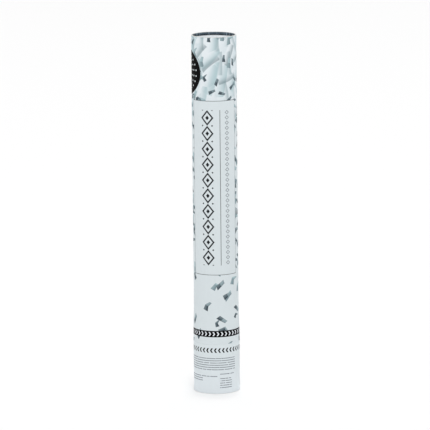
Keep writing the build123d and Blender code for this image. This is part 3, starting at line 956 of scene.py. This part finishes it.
panel_edge = box_distance(across, z, PANEL_LEFT, PANEL_RIGHT, PANEL_LOW, PANEL_HIGH)
open_print = 1 - panel_edge.inked(PRINT_SOFT)
thinned = 1 - abs(theta).rising(*BACK_THINS) * BACK_BARE
brightened = z.rising(*ART_RISE) * open_print
paint = brightened.between(screen_colour(*LABEL_WHITE), screen_colour(*ART_GROUND))
for slant, cell, shift, (half_length, half_width), soft, swing, bend, ink, depth in VEILS:
    along, over, lean, chance, height = strewn(across, z, slant, cell, shift, swing)
    over = over + along * along * ((lean - EVEN_CHANCE) * (bend / half_length))
    shape = (abs(along) - half_length).both(abs(over) - half_width).inked(soft)
    fading = (over / half_width).rising(*VEIL_FADE) * chance.rising(*VEIL_CHANCE)
    strength = height.rising(*VEIL_RISE) * open_print * shape * fading
    paint = (strength * depth).between(paint, screen_colour(*ink))
for slant, cell, shift, (half_length, half_width), swing, dark, light, top, middle, foot in STRIPS:
    along, over, lean, chance, height = strewn(across, z, slant, cell, shift, swing)
    over = over + abs(along) * ((lean - FOLD_FROM).both(0) * FOLD_MOST)
    along = along + over * ((lean - EVEN_CHANCE) * STRIP_SKEW)
    narrowed = half_width * (1 - along * (lean * STRIP_NARROWS / half_length))
    edge = (abs(along) - half_length).both(abs(over) - narrowed)
    fold = along.rising(-PRINT_SOFT, PRINT_SOFT) * FOLD_TONE
    face = fold + over.rising(-half_width, half_width) * SIDE_TONE
    tone = face * (1 - edge.rising(-STRIP_RIM, 0) * RIM_DARK)
    likely = height.rising(*FOOT_RISE) * (middle - foot) + foot
    likely = likely + height.rising(*TOP_RISE) * (top - middle)
    strength = (chance < likely * thinned) * open_print * edge.inked(PRINT_SOFT)
    paint = strength.between(paint, tone.between(screen_colour(*dark), screen_colour(*light)))

# Panel: a thin frame, a rule, a chain of lozenges and a finer trail beside it.
frame_line = (abs(panel_edge) - PANEL_LINE / 2).inked(PRINT_SOFT)
panel_end = abs(z - (PANEL_LOW + PANEL_HIGH) / 2) - (PANEL_HIGH - PANEL_LOW) / 2
side_line = (panel_end + PANEL_LINE).inked(PANEL_SIDE_SOFT)
paint = frame_line.between(paint, side_line.between(screen_colour(*INK_DARK), screen_colour(*INK_LIGHT)))
rule = box_distance(across, z, RULE_AT - RULE_WIDTH / 2, RULE_AT + RULE_WIDTH / 2, RULE_LOW, RULE_HIGH)
column_end = abs(z - (RULE_LOW + RULE_HIGH) / 2) - (RULE_HIGH - RULE_LOW) / 2
link = (RULE_HIGH - RULE_LOW) / CHAIN_LINKS
along = (z - RULE_LOW) % link - link / 2
beside = across - CHAIN_AT
lozenge = lozenge_distance(beside, along, CHAIN_HALF, link / 2)
outline = abs(lozenge + CHAIN_STROKE / 2) - CHAIN_STROKE / 2
seed = lozenge_distance(beside, along, CHAIN_HALF * CHAIN_SEED, link / 2 * CHAIN_SEED)
bead = lozenge_distance(
    abs(beside) - CHAIN_HALF * CHAIN_BEAD_AT, abs(along) - link / 2, CHAIN_BEAD, CHAIN_BEAD
)
chain = outline.either(seed).either(bead).both(column_end)
paint = chain.either(rule).inked(PRINT_SOFT).between(paint, screen_colour(*INK_DARK))
small_link = (RULE_HIGH - RULE_LOW) / TRAIL_LINKS
along = (z - RULE_LOW) % small_link - small_link / 2
small = lozenge_distance(across - TRAIL_AT, along, TRAIL_HALF, small_link * TRAIL_FILL)
trail = (abs(small + TRAIL_STROKE / 2) - TRAIL_STROKE / 2).both(column_end)
paint = trail.inked(PRINT_SOFT).between(paint, screen_colour(*INK_LIGHT))

# Disc at the left, with rings of dots, and the band of chevrons that shows the way to twist.
beside = across - DISC_ANGLE * BARREL_RADIUS
above = z - DISC_HEIGHT
reach = (beside * beside + above * above) ** 0.5
paint = (reach - DISC_RADIUS).inked(PRINT_SOFT).between(paint, screen_colour(*INK_BLACK))
bearing = beside.sum("ARCTAN2", above, beside)
dots = reach - DISC_DOT
for ring_radius, count in DISC_BURST:
    sector = 2 * pi / count
    around = (bearing % sector - sector / 2) * ring_radius
    out = reach - ring_radius
    dots = dots.either((around * around + out * out) ** 0.5 - DISC_DOT)
paint = dots.inked(PRINT_SOFT).between(paint, screen_colour(*LABEL_WHITE))
band_middle = (BAND_LOW + BAND_HIGH) / 2
band = (abs(z - band_middle) - (BAND_HIGH - BAND_LOW) / 2).inked(PRINT_SOFT)
paint = band.between(paint, screen_colour(*INK_BLACK))
band_pitch = 2 * pi * BARREL_RADIUS / BAND_CHEVRONS
points = chevrons(across, z - band_middle, band_pitch, CHEVRON_LEAN, BAND_STROKE, BAND_CHEVRON_HALF)
paint = points.between(paint, screen_colour(*LABEL_BRIGHT))


def varnished(place, surface, paint, worn):
    """Satin varnish over a print, with the paper showing where the label's edge is worn."""
    scuff = place.speckle(SCUFF_SCALE, SCUFF_DETAIL)
    sheen = place.speckle(SHEEN_SCALE)
    bare = (worn + scuff * SCUFF_WEAR).rising(*WEAR_BARE)
    bare.between(paint, screen_colour(*PAPER_CORE)).into(surface, "Base Color")
    (sheen * SHEEN_ROUGH + scuff * SCUFF_ROUGH + VARNISH_ROUGH).into(surface, "Roughness")
    (scuff * SCUFF_DEPTH + sheen).raised(VARNISH_RELIEF).into(surface, "Normal")


varnished(place, surface, paint, z - (film_high.z / MM - EDGE_WEAR))
fit(barrel_film, label, "barrel", "print", "barrel_wrap")

# Grip film
# The same label stock round the grip, lapped at the back, with a row of chevrons that point
# the other way and plain broken rules below them.
GRIP_RADIUS = 25.7  # mm
GRIP_CHEVRONS = 36
GRIP_CHEVRON_AT = 49.4
GRIP_CHEVRON_HALF = 2.6
GRIP_STROKE = 1.8
GRIP_FOOT_PAINTED_LIGHT = (226, 233, 237)
INK_CHEVRON = (18, 19, 22)
INK_RULES = (128, 134, 143)
RULES_PITCH = 2.55
RULES_WIDTH = 0.85
RULES_BREAKS = (0.55, 9.0)  # per mm along a rule, and per rule
RULES_BROKEN = (0.36, 0.44)
RULES_DETAIL = 1.0
RULES_START = 0.8
RULES_BLOCKS = (  # left, right, low, high
    (-44.0, 23.0, 26.3, 41.6),
    (-44.0, 1.0, 18.6, 21.2),
    (-44.0, -17.0, 13.5, 18.6),
    (3.5, 21.0, 21.2, 23.8),
    (3.5, 18.0, 6.0, 18.6),
)
grip_low, grip_high = (Vector(corner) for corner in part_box("grip_wrap"))
grip_film = rolled_film(
    "grip_film", [(GRIP_RADIUS * MM, grip_low.z), (GRIP_RADIUS * MM, grip_high.z)]
)

grip_label, surface, place = new_finish("printed_grip_label", Specular_IOR_Level=VARNISH_GLOSS)
x, y, z = place.parts()
theta, _ = polar(x, y)
across = theta * GRIP_RADIUS
grip_pitch = 2 * pi * GRIP_RADIUS / GRIP_CHEVRONS
points = chevrons(across, z - GRIP_CHEVRON_AT, grip_pitch, -CHEVRON_LEAN, GRIP_STROKE, GRIP_CHEVRON_HALF)
# The ground is painted lighter towards the foot, as painted light thrown up from the floor.
ground = z.rising(0, GRIP_CHEVRON_AT).between(screen_colour(*GRIP_FOOT_PAINTED_LIGHT), screen_colour(*LABEL_WHITE))
paint = points.between(ground, screen_colour(*INK_CHEVRON))
ruled = ((z - RULES_START).repeated(RULES_PITCH) - RULES_WIDTH / 2).inked(PRINT_SOFT)
rule_number = z.sum("FLOOR", (z - RULES_START) / RULES_PITCH)
per_mm, per_rule = RULES_BREAKS
along_rules = place.node("ShaderNodeCombineXYZ", {}, {0: across * per_mm, 1: rule_number * per_rule})
unbroken = along_rules.speckle(detail=RULES_DETAIL).rising(*RULES_BROKEN)
first_block, *other_blocks = RULES_BLOCKS
blocks = box_distance(across, z, *first_block)
for block in other_blocks:
    blocks = blocks.either(box_distance(across, z, *block))
rules = ruled * blocks.inked(PRINT_SOFT) * unbroken
paint = rules.between(paint, screen_colour(*INK_RULES))
varnished(place, surface, paint, grip_low.z / MM + EDGE_WEAR - z)
fit(grip_film, grip_label, "grip", "print", "grip_wrap")

# Floor
# A plain sheet of white studio floor under the foot, large enough to fill the picture. It is
# matt, so that it keeps the soft shadow of the popper.
FLOOR_SIZE = 40.0
FLOOR_WHITE = 0.88
FLOOR_ROUGH = 1.0
FLOOR_GLOSS = 0.0
floor = begin("studio_floor", bpy.ops.mesh.primitive_plane_add, size=FLOOR_SIZE, location=(0, 0, 0))
floor_paint, *_ = new_finish(
    "floor_paint",
    Roughness=FLOOR_ROUGH,
    Specular_IOR_Level=FLOOR_GLOSS,
    Base_Color=(FLOOR_WHITE, FLOOR_WHITE, FLOOR_WHITE, 1),
)
floor.data.materials.append(floor_paint)

# Light and camera
# Soft light from all round, more from the front and the back and less from above, and one long
# lamp high overhead for the shadow on the floor. The camera stands well back and a little above,
# turned by about half a degree so that the barrel leans.
SKY_SIDES = 0.87
SKY_FRONT = 1.22
SKY_TOP = 0.3
SKY_COLOUR = (1, 1, 1, 1)
BACKDROP = 1.0  # what the camera, gloss and glass see
LAMP_POWER = 1900.0
LAMP_SIZE = (1.2, 4.7)  # across and along the view
LAMP_PLACE = (0.22, -0.5, 20.0)
CAMERA_PLACE = (0, -3.82, 0.90)
CAMERA_AIM = (-0.00045, 0, 0.1980)
CAMERA_LENS = 292.7
CAMERA_SENSOR = 36.0
CAMERA_ROLL = -0.55  # degrees

world = bpy.data.worlds.new("studio")
bpy.context.scene.world = world
world.use_nodes = True
tree = world.node_tree
tree.nodes.remove(tree.nodes["Background"])
direction = Shade(tree, tree.nodes.new("ShaderNodeTexCoord").outputs["Generated"])
x, y, z = direction.parts()
level = y * y * (SKY_FRONT - SKY_SIDES) + z * z * (SKY_TOP - SKY_SIDES) + SKY_SIDES
sky = level.node("ShaderNodeBackground", {}, {"Color": SKY_COLOUR, "Strength": level})
white = level.node("ShaderNodeBackground", {}, {"Color": SKY_COLOUR, "Strength": BACKDROP})
seen = level.node("ShaderNodeLightPath", {}, {}, "Is Camera Ray")
seen = seen.both(seen.output("Is Glossy Ray")).both(seen.output("Is Transmission Ray"))
level.node("ShaderNodeMixShader", {}, {0: seen, 1: sky, 2: white}).into(
    tree.nodes["World Output"], "Surface"
)

bpy.ops.object.light_add(type="AREA", location=LAMP_PLACE)
lamp = bpy.context.object
lamp.name = "soft_lamp"
lamp.data.shape = "RECTANGLE"
lamp.data.size, lamp.data.size_y = LAMP_SIZE
lamp.data.energy = LAMP_POWER

bpy.ops.object.camera_add(location=CAMERA_PLACE)
camera = bpy.context.object
camera.data.lens = CAMERA_LENS
camera.data.sensor_width = CAMERA_SENSOR
aimed = (Vector(CAMERA_AIM) - Vector(CAMERA_PLACE)).to_track_quat("-Z", "Y")
camera.rotation_euler = (aimed @ Quaternion((0, 0, 1), radians(CAMERA_ROLL))).to_euler()
bpy.context.scene.camera = camera
bpy.context.scene.view_settings.view_transform = "Standard"
